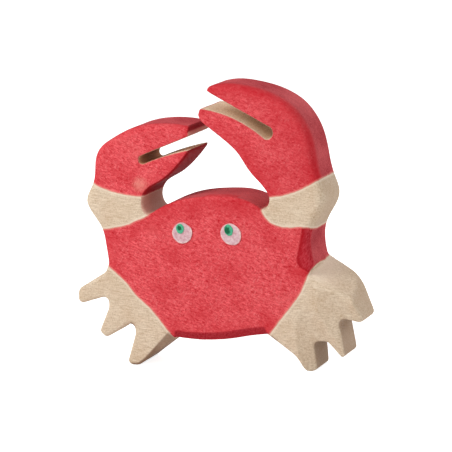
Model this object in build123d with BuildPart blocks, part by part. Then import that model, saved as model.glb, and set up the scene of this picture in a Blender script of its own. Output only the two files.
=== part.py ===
from build123d import *
from math import cos, dist, radians, sin, tan
import os

os.makedirs("parts", exist_ok=True)

# A crab figure sawn from one wooden board, rounded by hand and glazed in three
# red fields. The front looks along -Y, +X is the viewer's right, lengths are
# millimetres and angles are degrees. The figure is one piece of wood, so the
# solids below are its fields, parted along the edges of the glaze.

# Board and shell
BOARD_THICKNESS = 20.0
SHELL_WIDTH = 72.0
SHELL_HEIGHT = 48.0
BELLY_HEIGHT = 10.0

# Arms, from the shoulder to the wrist
SMALL_ARM_LENGTH = 11.0
SMALL_ARM_LEAN = 10.6
SMALL_WRIST_WIDTH = 19.2
SMALL_WRIST_TILT = 13.4
SMALL_ELBOW_BULGE = 3.6
LARGE_ARM_LENGTH = 10.8
LARGE_ARM_LEAN = 14.0
LARGE_WRIST_WIDTH = 18.4
LARGE_WRIST_TILT = 19.2
LARGE_ELBOW_BULGE = 2.9

# Claws, from the wrist to the tip of the upper finger. A slot parts the fingers, and
# the middle of its mouth lies a drop below that tip.
SMALL_CLAW_LENGTH = 33.8
SMALL_CLAW_WIDTH = 22.0
SMALL_CLAW_RISE = 33.0
SMALL_SLOT_LENGTH = 18.0
SMALL_SLOT_WIDTH = 2.7
SMALL_SLOT_RISE = 19.0
SMALL_GAPE = 4.2
SMALL_FINGER_BULGE = 0.5
SMALL_MOUTH_DROP = 5.55
LARGE_CLAW_LENGTH = 44.0
LARGE_CLAW_WIDTH = 26.0
LARGE_CLAW_RISE = 45.0
LARGE_SLOT_LENGTH = 25.0
LARGE_SLOT_WIDTH = 4.2
LARGE_SLOT_RISE = 26.0
LARGE_GAPE = 6.1
LARGE_FINGER_BULGE = 1.9
LARGE_MOUTH_DROP = 4.55

# Legs, reach beyond the shell's side and height of the tip above the ground
LEFT_UPPER_REACH = 10.6
LEFT_UPPER_HEIGHT = 20.1
LEFT_UPPER_TIP = 5.4
LEFT_MIDDLE_REACH = 3.4
LEFT_MIDDLE_HEIGHT = 8.8
LEFT_MIDDLE_TIP = 2.4
LEFT_FOOT_SPREAD = 16.6
RIGHT_UPPER_REACH = 16.9
RIGHT_UPPER_HEIGHT = 16.5
RIGHT_UPPER_TIP = 1.8
RIGHT_MIDDLE_REACH = 10.5
RIGHT_MIDDLE_HEIGHT = 4.3
RIGHT_MIDDLE_TIP = 1.5
RIGHT_FOOT_SPREAD = 15.3
RIGHT_GAP_WIDTH = 4.8
ARCH_BULGE = 2.4
FOOT_LENGTH = 2.9
FOOT_TOE = 1.2

# Carving of the edges
SIDE_ROUNDING = 2.7
PALM_ROUNDING = 0.9
LEG_ROUNDING = 1.0
TOE_ROUNDING = 1.15
GAP_ROUNDING = 1.6
CROOK_ROUNDING = 5.0
TIP_ROUNDING = 3.0
TIP_SHARE = 0.6
KNEE_ROUNDING = 14.0
KNEE_EASE = 3.0
KNEE_CUT = 3.6
KNEE_LEAN = 11.0
ARCH_ROUNDING = 8.0
LEG_TAPER = 5.0
NOTCH_ROUNDING = 1.2
BELLY_CHAMFER = 3.0
SCOOP_RADIUS = 10.0
SCOOP_DEPTH = 3.0
SCOOP_LENGTH = 11.0
LOWER_SCOOP_LEAN = 22.0
UPPER_SCOOP_LEAN = 34.0

# Painted eyes
EYE_DIAMETER = 7.2
EYE_SPACING = 17.1
EYE_DROP = 12.2
EYE_OFFSET = 0.75
IRIS_WIDTH = 2.9
IRIS_HEIGHT = 3.3
IRIS_LIFT = 1.5
IRIS_SHIFT = 0.7
PAINT_THICKNESS = 0.25

# Sag of the glaze edges, and working allowances
GLAZE_SAG = 1.2
TOUCH = 0.02
OVERRUN = 3.0

HALF_BOARD = BOARD_THICKNESS / 2
HALF_SHELL = SHELL_WIDTH / 2

# The shell's axis, placed so that the leg tips reach equally far from the origin
AXIS_X = (LEFT_UPPER_REACH - RIGHT_UPPER_REACH) / 2
FRONT = Plane((AXIS_X, 0, 0), x_dir=(1, 0, 0), z_dir=(0, -1, 0))


def shell(across, up):
    """A place on the shell, in shares of its half width and of its height."""
    return (across * HALF_SHELL, BELLY_HEIGHT + up * SHELL_HEIGHT)


def step(start, length, angle):
    """The place that lies a length away from another, along an angle."""
    return (start[0] + length * cos(radians(angle)), start[1] + length * sin(radians(angle)))


def between(first, last, share=0.5):
    """The place at a share of the way from one place to another."""
    return (first[0] + share * (last[0] - first[0]), first[1] + share * (last[1] - first[1]))


def along(first, last, length):
    """The place that lies a length from one place towards another."""
    return between(first, last, length / dist(first, last))


def solid_place(place, depth):
    """A place of the drawing as a point of the figure, at a depth along Y."""
    return (AXIS_X + place[0], depth, place[1])


def claw_places(wrist, rise, length, width, side):
    """A function that places points of a claw in shares of its length and width."""
    ahead = (-side * cos(radians(rise)), sin(radians(rise)))
    outward = (side * ahead[1], -side * ahead[0])

    def place(along, across):
        u = along * length
        v = across * width
        return (wrist[0] + u * ahead[0] + v * outward[0], wrist[1] + u * ahead[1] + v * outward[1])

    return place


# Corners of the shell
LEFT_ROOT = shell(-0.985, 0.50)
LEFT_SHOULDER = shell(-1.042, 0.756)
LEFT_NOTCH = shell(-0.547, 0.866)
RIGHT_NOTCH = shell(0.564, 0.915)
RIGHT_SHOULDER = shell(1.027, 0.785)
RIGHT_ROOT = shell(1.038, 0.55)
BELLY_RIGHT = shell(0.588, 0.04)
BELLY_LEFT = shell(-0.342, -0.008)

# Wrists, with the places of the claws that start from them
SMALL_WRIST = step(between(LEFT_SHOULDER, LEFT_NOTCH), SMALL_ARM_LENGTH, 90 + SMALL_ARM_LEAN)
SMALL_WRIST_OUT = step(SMALL_WRIST, SMALL_WRIST_WIDTH / 2, 180 - SMALL_WRIST_TILT)
SMALL_WRIST_IN = step(SMALL_WRIST, SMALL_WRIST_WIDTH / 2, -SMALL_WRIST_TILT)
LARGE_WRIST = step(between(RIGHT_SHOULDER, RIGHT_NOTCH), LARGE_ARM_LENGTH, 90 - LARGE_ARM_LEAN)
LARGE_WRIST_OUT = step(LARGE_WRIST, LARGE_WRIST_WIDTH / 2, LARGE_WRIST_TILT)
LARGE_WRIST_IN = step(LARGE_WRIST, LARGE_WRIST_WIDTH / 2, 180 + LARGE_WRIST_TILT)
small = claw_places(SMALL_WRIST, SMALL_CLAW_RISE, SMALL_CLAW_LENGTH, SMALL_CLAW_WIDTH, -1)
large = claw_places(LARGE_WRIST, LARGE_CLAW_RISE, LARGE_CLAW_LENGTH, LARGE_CLAW_WIDTH, 1)

# Ends of the claws' noses, across the two fingers
SMALL_NOSE = (small(1.0, 0.172), small(0.856, -0.144))
LARGE_NOSE = (large(1.0, 0.122), large(0.907, -0.225))


def elbow(shoulder, wrist, bulge):
    """The outermost place of an arm."""
    middle = between(shoulder, wrist, 0.62)
    return (middle[0] + bulge, middle[1])


def rim_edges(part, curve):
    """The edges of the board's two faces that follow a drawn curve."""
    found = []
    for edge in part.edges():
        middle = edge.position_at(0.5)
        mark = Vertex(middle.X - AXIS_X, middle.Z, 0)
        if abs(middle.Y) > HALF_BOARD / 2 and curve.distance_to(mark) < TOUCH:
            found.append(edge)
    return found


# Shell, arms and claws, sawn as one outline
with BuildPart() as body:
    with BuildSketch(FRONT) as outline:
        with BuildLine():
            left_side = Spline(
                LEFT_ROOT,
                shell(-1.012, 0.66),
                LEFT_SHOULDER,
                elbow(LEFT_SHOULDER, SMALL_WRIST_OUT, -SMALL_ELBOW_BULGE),
                SMALL_WRIST_OUT,
                small(-0.03, 0.597),
                small(0.06, 0.682),
                small(0.225, 0.702),
                small(0.475, 0.655),
                small(0.775, 0.45),
                SMALL_NOSE[0],
            )
            Line(*SMALL_NOSE)
            left_palm = Spline(
                SMALL_NOSE[1],
                small(0.688, -0.223),
                small(0.435, -0.269),
                small(0.255, -0.269),
                SMALL_WRIST_IN,
                LEFT_NOTCH,
            )
            crown = Spline(
                LEFT_NOTCH,
                shell(-0.228, 0.979),
                shell(0.11, 1.009),
                shell(0.406, 0.986),
                RIGHT_NOTCH,
            )
            right_palm = Spline(
                RIGHT_NOTCH,
                LARGE_WRIST_IN,
                large(0.194, -0.275),
                large(0.353, -0.258),
                large(0.495, -0.208),
                large(0.611, -0.213),
                large(0.856, -0.264),
            )
            Line(large(0.856, -0.264), LARGE_NOSE[1])
            Line(*LARGE_NOSE)
            right_side = Spline(
                LARGE_NOSE[0],
                large(0.905, 0.328),
                large(0.773, 0.5),
                large(0.628, 0.635),
                large(0.47, 0.711),
                large(0.318, 0.698),
                large(0.168, 0.605),
                LARGE_WRIST_OUT,
                elbow(RIGHT_SHOULDER, LARGE_WRIST_OUT, LARGE_ELBOW_BULGE),
                RIGHT_SHOULDER,
                shell(1.01, 0.65),
                RIGHT_ROOT,
            )
            Line(RIGHT_ROOT, BELLY_RIGHT)
            belly = Spline(BELLY_RIGHT, shell(0.44, 0.029), shell(0.2, -0.004), shell(-0.12, -0.021), BELLY_LEFT)
            Line(BELLY_LEFT, LEFT_ROOT)
        make_face()
        for notch in (LEFT_NOTCH, RIGHT_NOTCH):
            fillet(outline.vertices().sort_by_distance(notch)[0], radius=NOTCH_ROUNDING)
    extrude(amount=HALF_BOARD, both=True)
    for side in (left_side, right_side):
        fillet(rim_edges(body.part, side), radius=SIDE_ROUNDING)
    inner_rim = [edge for curve in (left_palm, crown, right_palm) for edge in rim_edges(body.part, curve)]
    fillet(inner_rim, radius=PALM_ROUNDING)
    chamfer(rim_edges(body.part, belly), length=BELLY_CHAMFER)


def jaw_slot(mouth, side, rise, length, width, gape, bulge):
    """The slot between two fingers, from its closed end out past the nose."""
    heading = -rise if side > 0 else 180 + rise
    upward = heading + side * 90
    end = step(mouth, length, heading)
    outside = step(mouth, -OVERRUN, heading)
    stations = ((end, width / 2), (mouth, gape / 2), (outside, gape / 2))
    upper = [step(place, half, upward) for place, half in stations]
    lower = [step(place, -half, upward) for place, half in stations]
    with BuildSketch(FRONT) as slot:
        with BuildLine():
            Polyline(*upper, lower[2], lower[1])
            Spline(lower[1], step(between(lower[0], lower[1]), bulge, upward), lower[0])
            ThreePointArc(lower[0], step(end, width / 3, heading), upper[0])
        make_face()
    return slot.sketch


def leg_fan(corners, radii, root, side):
    """Three legs that thin out at the back, and a root that reaches into the shell."""
    hinge = Vector(corners[-1]) - Vector(corners[0])
    outward = Vector(-side * hinge.Y, 0, side * hinge.X).normalized()
    start = Vector(solid_place(corners[0], HALF_BOARD)) - outward * LEG_ROUNDING
    across = Plane(start, x_dir=outward, z_dir=outward.cross(Vector(0, 1, 0)))
    with BuildPart() as fan:
        with BuildSketch(FRONT):
            with BuildLine():
                legs = FilletPolyline(*corners, radius=radii)
                Polyline(corners[-1], *root, corners[0])
            make_face()
        extrude(amount=HALF_BOARD, both=True)
        with BuildSketch(across):
            with BuildLine():
                Polyline((0, 0), (SHELL_WIDTH, -SHELL_WIDTH * tan(radians(LEG_TAPER))), (SHELL_WIDTH, 0), close=True)
            make_face()
        extrude(amount=SHELL_WIDTH, both=True, mode=Mode.SUBTRACT)
        fillet(rim_edges(fan.part, legs), radius=LEG_ROUNDING)
    return fan.part


def ease_knee(root, knee):
    """What the knife takes off the front of a knee: a leaning wall with a rounded edge."""
    run = Vector(knee[0] - root[0], 0, knee[1] - root[1]).normalized()
    outward = Vector(-run.Z, 0, run.X)
    start = Vector(solid_place(root, -HALF_BOARD)) - outward * KNEE_CUT
    through = BOARD_THICKNESS + OVERRUN
    lean_end = (through * tan(radians(KNEE_LEAN)), -through)
    with BuildPart() as shaving:
        with BuildSketch(Plane(start, x_dir=outward, z_dir=run)):
            with BuildLine():
                FilletPolyline((-BOARD_THICKNESS, TOUCH), (0, TOUCH), lean_end, radius=KNEE_EASE)
                Polyline(
                    lean_end,
                    (BOARD_THICKNESS, -through),
                    (BOARD_THICKNESS, OVERRUN),
                    (-BOARD_THICKNESS, OVERRUN),
                    (-BOARD_THICKNESS, TOUCH),
                )
            make_face()
        extrude(amount=SHELL_WIDTH, both=True)
    return shaving.part


# Corners of the left legs, from the upper leg down to the foot
upper_tip = (-HALF_SHELL - LEFT_UPPER_REACH, LEFT_UPPER_HEIGHT)
middle_tip = (-HALF_SHELL - LEFT_MIDDLE_REACH, LEFT_MIDDLE_HEIGHT)
LEFT_TOE = (BELLY_LEFT[0] - LEFT_FOOT_SPREAD, 0)
LEFT_HEEL = (LEFT_TOE[0] + FOOT_TOE / 2 + FOOT_LENGTH, 0)
left_corners = [
    LEFT_ROOT,
    shell(-1.0, 0.454),
    (upper_tip[0], upper_tip[1] + LEFT_UPPER_TIP),
    upper_tip,
    shell(-0.991, 0.277),
    shell(-0.989, 0.2),
    (middle_tip[0], middle_tip[1] + LEFT_MIDDLE_TIP),
    (middle_tip[0] + LEFT_MIDDLE_TIP, middle_tip[1]),
    shell(-0.74, 0.107),
    shell(-0.733, 0.017),
    (LEFT_TOE[0] - FOOT_TOE / 2, FOOT_TOE),
    (LEFT_TOE[0] + FOOT_TOE / 2, 0),
    LEFT_HEEL,
    between(LEFT_HEEL, BELLY_LEFT, 1.05),
]
left_radii = [
    TIP_ROUNDING,
    TIP_ROUNDING,
    GAP_ROUNDING,
    GAP_ROUNDING,
    CROOK_ROUNDING,
    TOE_ROUNDING,
    GAP_ROUNDING,
    GAP_ROUNDING,
    CROOK_ROUNDING,
    TOE_ROUNDING,
    TOE_ROUNDING,
    TOE_ROUNDING,
]

# Corners of the right legs, from the upper leg down to the foot
upper_tip = (HALF_SHELL + RIGHT_UPPER_REACH, RIGHT_UPPER_HEIGHT)
middle_tip = (HALF_SHELL + RIGHT_MIDDLE_REACH, RIGHT_MIDDLE_HEIGHT)
RIGHT_TOE = (BELLY_RIGHT[0] + RIGHT_FOOT_SPREAD, 0)
RIGHT_HEEL = (RIGHT_TOE[0] - FOOT_LENGTH, 0)
LOWER_GAP = step((RIGHT_TOE[0], 0), BELLY_HEIGHT, 94.5)
UPPER_GAP = shell(1.228, 0.173)
arch = between(RIGHT_HEEL, BELLY_RIGHT, 0.45)
arch = (arch[0] + ARCH_BULGE, arch[1])
RIGHT_KNEE = shell(1.338, 0.418)
right_corners = [
    between(RIGHT_KNEE, RIGHT_ROOT, 1.05),
    RIGHT_KNEE,
    (upper_tip[0], upper_tip[1] + RIGHT_UPPER_TIP),
    (upper_tip[0] - RIGHT_UPPER_TIP / 2, upper_tip[1]),
    UPPER_GAP,
    (middle_tip[0], middle_tip[1] + RIGHT_MIDDLE_TIP),
    (middle_tip[0] - RIGHT_MIDDLE_TIP, middle_tip[1]),
    (LOWER_GAP[0] + RIGHT_GAP_WIDTH, LOWER_GAP[1]),
    LOWER_GAP,
    RIGHT_TOE,
    RIGHT_HEEL,
    arch,
    between(arch, BELLY_RIGHT, 1.1),
]
right_radii = [
    KNEE_ROUNDING,
    TOE_ROUNDING,
    TOE_ROUNDING,
    GAP_ROUNDING,
    RIGHT_MIDDLE_TIP * TIP_SHARE,
    RIGHT_MIDDLE_TIP * TIP_SHARE,
    GAP_ROUNDING,
    TOE_ROUNDING,
    TOE_ROUNDING,
    TOE_ROUNDING,
    ARCH_ROUNDING,
]

# The whole figure: the body with its jaws sawn open, and the legs carved
with BuildPart() as figure:
    add(body.part)
    small_slot = jaw_slot(
        along(*SMALL_NOSE, SMALL_MOUTH_DROP),
        -1,
        SMALL_SLOT_RISE,
        SMALL_SLOT_LENGTH,
        SMALL_SLOT_WIDTH,
        SMALL_GAPE,
        SMALL_FINGER_BULGE,
    )
    large_slot = jaw_slot(
        along(*LARGE_NOSE, LARGE_MOUTH_DROP),
        1,
        LARGE_SLOT_RISE,
        LARGE_SLOT_LENGTH,
        LARGE_SLOT_WIDTH,
        LARGE_GAPE,
        LARGE_FINGER_BULGE,
    )
    for slot in (small_slot, large_slot):
        extrude(slot, amount=BOARD_THICKNESS, both=True, mode=Mode.SUBTRACT)
    add(leg_fan(left_corners, left_radii, [shell(-0.36, 0.12), shell(-0.85, 0.47)], -1))
    right_fan = leg_fan(right_corners, right_radii, [shell(0.56, 0.16), shell(0.9, 0.5)], 1)
    add(right_fan - ease_knee(RIGHT_ROOT, RIGHT_KNEE))

    # The belly's bevel runs out along the underside of the left foot
    downhill = Vector(LEFT_HEEL[0] - BELLY_LEFT[0], 0, LEFT_HEEL[1] - BELLY_LEFT[1]).normalized()
    inward = Vector(downhill.Z, 0, -downhill.X)
    for face in (-1, 1):
        for place, size in ((BELLY_LEFT, BELLY_CHAMFER), (LEFT_HEEL, TOUCH)):
            bevel_plane = Plane(solid_place(place, face * HALF_BOARD), x_dir=inward, z_dir=downhill)
            depth = -face * bevel_plane.y_dir.Y
            with BuildSketch(bevel_plane):
                with BuildLine():
                    Polyline(
                        (-OVERRUN, -OVERRUN * depth),
                        (size + OVERRUN, -OVERRUN * depth),
                        (-OVERRUN, (size + OVERRUN) * depth),
                        (-OVERRUN, -OVERRUN * depth),
                    )
                make_face()
        loft(mode=Mode.SUBTRACT)

    # Scooped hollows above the gaps between the right legs, on the front
    for gap, lean in ((LOWER_GAP, LOWER_SCOOP_LEAN), (UPPER_GAP, UPPER_SCOOP_LEAN)):
        start = step(gap, RIGHT_GAP_WIDTH / 2, 0)
        top = step(start, SCOOP_LENGTH, 90 + lean)
        low_point = Vector(solid_place(start, SCOOP_DEPTH - SCOOP_RADIUS - HALF_BOARD))
        top_point = Vector(solid_place(top, -SCOOP_RADIUS - HALF_BOARD))
        rise = (top_point - low_point).normalized()
        with BuildSketch(Plane(low_point - rise * SCOOP_LENGTH, z_dir=rise)):
            Circle(SCOOP_RADIUS)
        extrude(amount=3 * SCOOP_LENGTH, mode=Mode.SUBTRACT)


def glaze_edge(*places):
    """A sheet through the board along a painted edge."""
    with BuildLine(FRONT) as stroke:
        Spline(*places)
    start = stroke.edge().moved(Location((0, -BOARD_THICKNESS, 0)))
    return Face.extrude(start, (0, 2 * BOARD_THICKNESS, 0))


def wrist_edge(outer, inner, side):
    """The glaze edge across a wrist, which sags towards the shell."""
    middle = between(outer, inner)
    return glaze_edge(
        step(outer, OVERRUN, 90 - side * 60),
        outer,
        (middle[0], middle[1] - GLAZE_SAG),
        inner,
        step(inner, OVERRUN, 90 + side * 90),
    )


glaze_edges = [
    wrist_edge(SMALL_WRIST_OUT, SMALL_WRIST_IN, -1),
    wrist_edge(LARGE_WRIST_OUT, LARGE_WRIST_IN, 1),
    glaze_edge(
        step(LEFT_SHOULDER, OVERRUN, 184),
        LEFT_SHOULDER,
        shell(-0.783, 0.79),
        LEFT_NOTCH,
        step(LEFT_NOTCH, OVERRUN, 68),
    ),
    glaze_edge(
        step(RIGHT_NOTCH, OVERRUN, 104),
        RIGHT_NOTCH,
        shell(0.64, 0.84),
        shell(0.78, 0.807),
        RIGHT_SHOULDER,
        step(RIGHT_SHOULDER, OVERRUN, -10),
    ),
    glaze_edge(
        step(LEFT_ROOT, OVERRUN, 140),
        LEFT_ROOT,
        shell(-0.758, 0.354),
        shell(-0.519, 0.158),
        BELLY_LEFT,
        step(BELLY_LEFT, OVERRUN, -50),
    ),
    glaze_edge(
        step(RIGHT_ROOT, OVERRUN, 50),
        RIGHT_ROOT,
        shell(0.947, 0.402),
        shell(0.706, 0.152),
        BELLY_RIGHT,
        step(BELLY_RIGHT, OVERRUN, 230),
    ),
]
fields = [figure.part.solid()]
for sheet in glaze_edges:
    fields = [piece for field in fields for piece in field.split(sheet, Keep.ALL)]

# Each field by a place that lies inside it
field_places = {
    "carapace": shell(0, 0.5),
    "left_arm": between(between(LEFT_SHOULDER, LEFT_NOTCH), SMALL_WRIST),
    "right_arm": between(between(RIGHT_SHOULDER, RIGHT_NOTCH), LARGE_WRIST),
    "left_claw": small(0.2, 0.2),
    "right_claw": large(0.2, 0.2),
    "left_legs": between(shell(-0.99, 0.28), shell(-0.519, 0.158)),
    "right_legs": between(RIGHT_HEEL, LOWER_GAP),
}
for name, place in field_places.items():
    with BuildPart() as piece:
        add([field for field in fields if field.is_inside(solid_place(place, 0))])
    piece.part.label = name
    export_step(piece.part, f"parts/{name}.step")

# Eyes: two whites dabbed on the shell, and an iris on each of them
eye_height = BELLY_HEIGHT + SHELL_HEIGHT - EYE_DROP
for side, name in ((-1, "left"), (1, "right")):
    centre = (EYE_OFFSET + side * EYE_SPACING / 2, eye_height)
    with BuildPart() as white:
        with BuildSketch(FRONT.offset(HALF_BOARD)):
            with Locations(centre):
                Circle(EYE_DIAMETER / 2)
        extrude(amount=PAINT_THICKNESS)
        fillet(white.edges().group_by(Axis.Y)[0], radius=PAINT_THICKNESS * 0.8)
    white.part.label = f"{name}_eye_white"
    export_step(white.part, f"parts/{name}_eye_white.step")
    with BuildPart() as iris:
        with BuildSketch(FRONT.offset(HALF_BOARD + PAINT_THICKNESS)):
            with Locations((centre[0] - IRIS_SHIFT, centre[1] + IRIS_LIFT)):
                Ellipse(IRIS_WIDTH / 2, IRIS_HEIGHT / 2)
        extrude(amount=PAINT_THICKNESS)
        fillet(iris.edges().group_by(Axis.Y)[0], radius=PAINT_THICKNESS * 0.8)
    iris.part.label = f"{name}_iris"
    export_step(iris.part, f"parts/{name}_iris.step")
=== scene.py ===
# %% [markdown]
# # A wooden crab, sawn from one board and glazed red
# The real figure is one piece of pale limewood. A saw cut its outline, a knife and sandpaper rounded
# it, and a brush put thin red glaze on the shell and the claws.

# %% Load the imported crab
import math

import bmesh
import bpy
from mathutils import Matrix, Vector, noise
from mathutils.bvhtree import BVHTree
from mathutils.kdtree import KDTree


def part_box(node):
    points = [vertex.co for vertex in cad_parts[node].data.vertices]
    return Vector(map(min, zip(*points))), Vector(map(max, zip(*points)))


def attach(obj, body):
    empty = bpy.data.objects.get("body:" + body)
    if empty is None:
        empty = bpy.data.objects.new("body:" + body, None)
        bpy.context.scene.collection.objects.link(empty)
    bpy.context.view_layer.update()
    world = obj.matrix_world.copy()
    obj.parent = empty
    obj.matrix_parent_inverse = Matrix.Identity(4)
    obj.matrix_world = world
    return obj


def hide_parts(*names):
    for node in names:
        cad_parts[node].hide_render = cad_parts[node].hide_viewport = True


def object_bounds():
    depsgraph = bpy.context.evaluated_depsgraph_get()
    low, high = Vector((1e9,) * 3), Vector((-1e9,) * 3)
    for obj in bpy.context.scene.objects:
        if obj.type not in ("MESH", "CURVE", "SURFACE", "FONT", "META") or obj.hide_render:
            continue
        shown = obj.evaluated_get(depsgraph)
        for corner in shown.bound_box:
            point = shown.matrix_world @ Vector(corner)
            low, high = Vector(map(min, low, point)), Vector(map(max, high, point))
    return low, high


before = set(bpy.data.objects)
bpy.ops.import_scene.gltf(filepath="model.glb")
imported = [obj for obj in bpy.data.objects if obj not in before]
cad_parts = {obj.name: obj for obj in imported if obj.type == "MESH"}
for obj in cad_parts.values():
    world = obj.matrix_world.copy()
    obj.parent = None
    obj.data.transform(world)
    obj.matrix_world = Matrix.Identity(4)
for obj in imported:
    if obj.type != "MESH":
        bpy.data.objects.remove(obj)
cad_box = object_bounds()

MM = 0.001
cad_corners = [[round(c / MM, 1) for c in corner] for corner in cad_box]
print("frame loaded:", len(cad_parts), "nodes, box", cad_corners)

# %% [markdown]
# ## One skin for the whole figure
# The wood runs on under the edges of the glaze, so its surface must not show a seam there. The seven
# fields of the frame could each be dressed alone, but then every knife mark would stop at a field.
# Copies of the seven are gathered into one mesh instead, and a voxel remesh shrink-wraps them into
# one skin.

# %% Gather the seven fields
GLAZED = ["carapace", "left_claw", "right_claw"]
BARE = ["left_arm", "right_arm", "left_legs", "right_legs"]
WELD = 0.001 * MM


def gathered(names):
    mesh = bmesh.new()
    for name in names:
        mesh.from_mesh(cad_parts[name].data)
    bmesh.ops.remove_doubles(mesh, verts=mesh.verts, dist=WELD)
    return mesh


def new_object(name, mesh):
    data = bpy.data.meshes.new(name)
    mesh.to_mesh(data)
    made = bpy.data.objects.new(name, data)
    bpy.context.scene.collection.objects.link(made)
    return made


blank = new_object("blank", gathered(GLAZED + BARE))
print("blank:", len(blank.data.polygons), "faces")

# %% Shrink-wrap them into one skin
VOXEL = 0.45 * MM
wrap = blank.modifiers.new("skin", "REMESH")
wrap.mode = "VOXEL"
wrap.voxel_size = VOXEL
wrapped = blank.evaluated_get(bpy.context.evaluated_depsgraph_get())
skin = bmesh.new()
skin.from_mesh(wrapped.to_mesh())
wrapped.to_mesh_clear()
bpy.data.objects.remove(blank)
print("skin:", len(skin.faces), "faces")


# %% Keep its outer shell alone
def islands(mesh):
    left, found = set(mesh.verts), []
    while left:
        todo, island = [left.pop()], []
        while todo:
            vert = todo.pop()
            island.append(vert)
            for edge in vert.link_edges:
                other = edge.other_vert(vert)
                if other in left:
                    left.remove(other)
                    todo.append(other)
        found.append(island)
    return sorted(found, key=len, reverse=True)


shells = islands(skin)
for inner in shells[1:]:
    bmesh.ops.delete(skin, geom=inner, context="VERTS")
print(len(shells) - 1, "inner shells taken out,", len(skin.faces), "faces left")

# %% [markdown]
# ## Sandpaper
# A voxel skin has small steps along slanted edges, and the real edges were eased with sandpaper. A
# bevel would need every edge to be picked out, so a few rounds of smoothing over everything take the
# steps away instead. The places that were rubbed more, such as the knees of the right legs and the
# outer edge of the large claw, get more rounds, fewer and fewer away from each centre.

# %% Ease every edge
EASING_ROUNDS = 3


def sand(verts):
    bmesh.ops.smooth_vert(
        skin, verts=verts, factor=0.5, use_axis_x=True, use_axis_y=True, use_axis_z=True)


for _ in range(EASING_ROUNDS):
    sand(skin.verts)
print("eased", EASING_ROUNDS, "rounds")

# %% Rub some places more
# each place is x, y, z and reach in millimetres, then the rounds at its centre
RUBBED = [
    (36, -10, 27, 8, 8), (44, -9, 26, 8, 10), (48, -8, 20, 7, 12), (38, -9, 57, 9, 26),
    (-43, -9, 54, 9, 14), (37, -10, 72, 8, 18), (36, -10, 80, 8, 18), (31, -10, 88, 8, 16),
    (22, -10, 93, 8, 14), (38, -10, 32, 6, 12),
]


def falloff(distance, reach):
    near = max(0, 1 - distance / reach)
    return near * near * (3 - 2 * near)


rubbing = {}
for x, y, z, reach, rounds in RUBBED:
    centre = Vector((x, y, z)) * MM
    for vert in skin.verts:
        near = falloff((vert.co - centre).length, reach * MM)
        if near > 0:
            rubbing[vert] = max(rubbing.get(vert, 0), rounds * near)
for round_number in range(max(rounds for *_, rounds in RUBBED)):
    rubbed = [vert for vert, rounds in rubbing.items() if rounds > round_number]
    if rubbed:
        sand(rubbed)
print("rubbed", len(rubbing), "vertices in", len(RUBBED), "places")

# %% [markdown]
# ## Knife marks
# No hand-cut face is quite flat. A bump in the material would only shade like that, so the skin itself
# is moved: noise with soft waves about 8 mm across stands for the knife, and finer waves for the
# sandpaper. It only moves the skin inwards, so that the figure keeps its size, and it stops near the
# floor, where the feet are flat.

# %% Press the waves into the skin
KNIFE_DEPTH, KNIFE_WAVE = 0.12 * MM, 8 * MM
SAND_DEPTH, SAND_WAVE = 0.03 * MM, 2.2 * MM
OTHER_WAVES = Vector((7, 3, 1))
# heights above the floor, in millimetres
FLAT_FOOT, FULL_DEPTH = 0.4, 2.4


def ramp(value, start, full):
    return min(1, max(0, (value - start) / (full - start)))


skin.normal_update()
deepest = 0
for vert in skin.verts:
    wave = 0.5 + 0.5 * noise.noise(vert.co / KNIFE_WAVE)
    ripple = 0.5 + 0.5 * noise.noise(vert.co / SAND_WAVE + OTHER_WAVES)
    depth = KNIFE_DEPTH * wave + SAND_DEPTH * ripple
    depth *= ramp(vert.co.z / MM, FLAT_FOOT, FULL_DEPTH)
    vert.co -= vert.normal * depth
    deepest = max(deepest, depth)
print("deepest mark: %.2f mm" % (deepest / MM))

# %% [markdown]
# ## Where the glaze ends
# The frame is parted where the glaze ends, so each vertex of the skin gets its distance, in
# millimetres, to the nearest solid of the other kind, above zero on the glazed side. Where sanding took
# a vertex below both solids, the faces along which they were cut tell its side. The brush overran the
# line in a few places and fell short in one. Giving whole faces to one side or the other would leave
# steps, so the skin is cut where the distance is zero, which gives clean lines.

# %% Find the cut faces
TOUCHING = 0.01 * MM
OPPOSED = -0.9
red_cad, bare_cad = gathered(GLAZED), gathered(BARE)
red_tree, bare_tree = BVHTree.FromBMesh(red_cad), BVHTree.FromBMesh(bare_cad)
cuts = red_cad.copy()
cuts.normal_update()
outside = []
for face in cuts.faces:
    _, normal, _, gap = bare_tree.find_nearest(face.calc_center_median())
    if gap > TOUCHING or normal.dot(face.normal) > OPPOSED:
        outside.append(face)
bmesh.ops.delete(cuts, geom=outside, context="FACES")
cut_tree = BVHTree.FromBMesh(cuts)
print("cut faces:", len(cuts.faces))

# %% Measure to the glaze edge
UNDECIDED = 0.02 * MM
glaze_edge = skin.verts.layers.float.new("glaze_edge")
for vert in skin.verts:
    to_red, to_bare = red_tree.find_nearest(vert.co)[3], bare_tree.find_nearest(vert.co)[3]
    if abs(to_bare - to_red) > UNDECIDED:
        vert[glaze_edge] = (to_bare if to_bare > to_red else -to_red) / MM
    else:
        spot, normal, _, gap = cut_tree.find_nearest(vert.co)
        vert[glaze_edge] = (-1 if (vert.co - spot).dot(normal) > 0 else 1) * gap / MM
print("glazed vertices:", sum(vert[glaze_edge] > 0 for vert in skin.verts))

# %% Let the brush overrun the line
# each place is x, y, z and reach in millimetres, then how far the brush ran past the line, or, below
# zero, fell short of it
OVERRUN = [
    (31.8, -10, 48.3, 8, 1.1), (-28, -10, 24.5, 7, 0.8), (-26, -10, 49.6, 6, 0.8),
    (33.8, -4, 35.6, 8, -1.4),
]
for x, y, z, reach, past in OVERRUN:
    centre = Vector((x, y, z))
    for vert in skin.verts:
        vert[glaze_edge] += past * falloff((vert.co / MM - centre).length, reach)
print("overrun in", len(OVERRUN), "places")

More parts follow.
